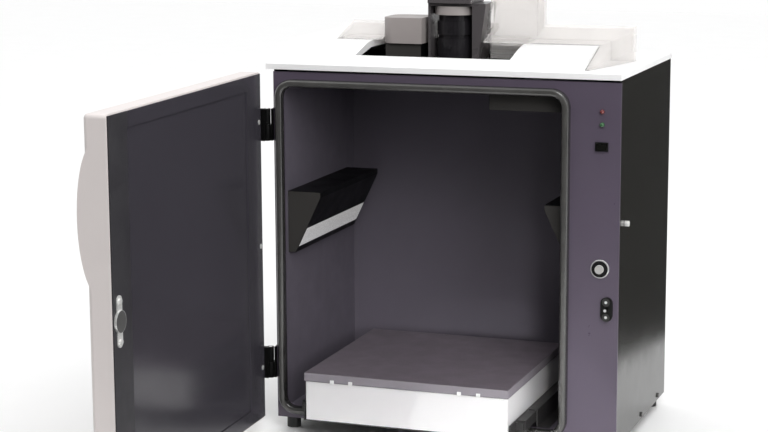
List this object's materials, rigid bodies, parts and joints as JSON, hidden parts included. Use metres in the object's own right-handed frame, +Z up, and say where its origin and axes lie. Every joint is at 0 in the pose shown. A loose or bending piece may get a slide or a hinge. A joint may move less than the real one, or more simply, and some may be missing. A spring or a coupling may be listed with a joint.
{
  "type": "gel imaging cabinet",
  "caption": "Bench-top gel imaging darkroom with a side-hinged door, slide-out transilluminator, side lamps and a camera under a translucent hood.",
  "frame": {"origin": "middle of the four feet, on the bench", "axes": "+Z up, -Y out of the door opening, +X towards the control strip"},
  "size_m": [0.4959, 0.7386, 0.622],
  "materials": {
    "black_paint": "satin",
    "purple_paint": "satin",
    "door_paint": "semi-gloss",
    "chamber_paint": "matt",
    "lamp_black": "satin",
    "diffuser_white": "satin",
    "white_plastic": "satin",
    "door_plastic": "satin",
    "box_white": "satin",
    "lid_purple": "satin",
    "seal_rubber": "matt",
    "foot_rubber": "matt",
    "hinge_black": "satin",
    "bright_steel": "bright",
    "dark_screw": "satin",
    "tray_steel": "satin",
    "chrome_ring": "polished",
    "black_plastic": "satin",
    "rocker_black": "gloss",
    "plunger_white": "gloss",
    "red_lens": "gloss",
    "green_lens": "gloss",
    "lens_black": "anodised",
    "camera_grey": "anodised",
    "bracket_dark": "satin",
    "smoked_acrylic": "gloss",
    "filter_glass": "polished",
    "tube_glass": "polished",
    "supply_case": "plain"
  },
  "bodies": {
    "cabinet": {"left_side_panel": "black_paint", "right_side_panel": "black_paint", "back_panel": "black_paint", "base_pan": "black_paint", "front_fascia": "purple_paint", "chamber_left_wall": "chamber_paint", "chamber_right_wall": "chamber_paint", "chamber_back_wall": "chamber_paint", "chamber_floor": "chamber_paint", "chamber_ceiling": "chamber_paint", "left_lamp_housing": "lamp_black", "right_lamp_housing": "lamp_black", "chamber_light_box": "lamp_black", "camera_well": "lamp_black", "control_box_plinth": "lamp_black", "lamp_diffusers": "diffuser_white", "top_cover": "white_plastic", "door_seal": "seal_rubber", "feet": "foot_rubber", "hinge_body_leaves": "hinge_black", "hinge_pins": "bright_steel", "side_peg": "bright_steel", "side_panel_screws": "dark_screw", "outer_rails": "tray_steel", "catch_bezel": "chrome_ring", "catch_body": "black_plastic", "interlock_plate": "black_plastic", "switch_bezel": "black_plastic", "power_inlet": "black_plastic", "interlock_screws": "rocker_black", "red_led": "red_lens", "green_led": "green_lens", "lens_barrel": "lens_black", "camera_mount_ring": "camera_grey", "camera_control_box": "camera_grey", "camera_bracket": "bracket_dark", "camera_body": "bracket_dark", "camera_hood": "smoked_acrylic", "lamp_tubes": "tube_glass", "power_supply": "supply_case"},
    "door": {"door_shell": "door_plastic", "door_inner_panel": "door_paint", "strike_plate": "bright_steel", "door_screws": "bright_steel", "hinge_door_leaves": "hinge_black"},
    "middle_slide": {"middle_rails": "tray_steel"},
    "drawer": {"inner_rails": "tray_steel", "drawer_tray": "tray_steel", "transilluminator_housing": "box_white", "uv_filter": "filter_glass", "uv_tubes": "tube_glass", "cover_plate": "lid_purple", "lid_clips": "white_plastic"},
    "rocker": {"switch_rocker": "rocker_black"},
    "catch_button": {"catch_plunger": "plunger_white"},
    "interlock_button": {"interlock_plunger": "rocker_black"},
    "zoom": {"zoom_ring": "lens_black"},
    "focus": {"focus_ring": "lens_black"}
  },
  "joints": [
    {"name": "door_hinge", "type": "hinge", "parent": "cabinet", "child": "door", "pos_m": [-0.232, -0.1453, 0.24], "axis": [0, 0, -1], "range_deg": [-88, 28]},
    {"name": "rail_slide", "type": "slide", "parent": "cabinet", "child": "middle_slide", "axis": [0, -1, 0], "range_m": [-0.0652, 0.0208]},
    {"name": "drawer_slide", "type": "slide", "parent": "middle_slide", "child": "drawer", "axis": [0, -1, 0], "range_m": [0, 0.17]},
    {"name": "switch_rock", "type": "hinge", "parent": "cabinet", "child": "rocker", "pos_m": [0.202, -0.14, 0.3895], "axis": [0, 0, 1], "range_deg": [-14, 0]},
    {"name": "catch_press", "type": "slide", "parent": "cabinet", "child": "catch_button", "axis": [0, 1, 0], "range_m": [0, 0.003], "stiffness_N_per_m": 300},
    {"name": "interlock_press", "type": "slide", "parent": "cabinet", "child": "interlock_button", "axis": [0, 1, 0], "range_m": [0, 0.003], "stiffness_N_per_m": 300},
    {"name": "zoom_turn", "type": "hinge", "parent": "cabinet", "child": "zoom", "pos_m": [-0.025, -0.005, 0.492], "axis": [0, 0, 1], "range_deg": [-45, 45]},
    {"name": "focus_turn", "type": "hinge", "parent": "cabinet", "child": "focus", "pos_m": [-0.025, -0.005, 0.517], "axis": [0, 0, 1], "range_deg": [-45, 45]}
  ],
  "couplings": [
    {"joint": "rail_slide", "follows": "door_hinge", "m_per_rad": 0.04245}
  ]
}
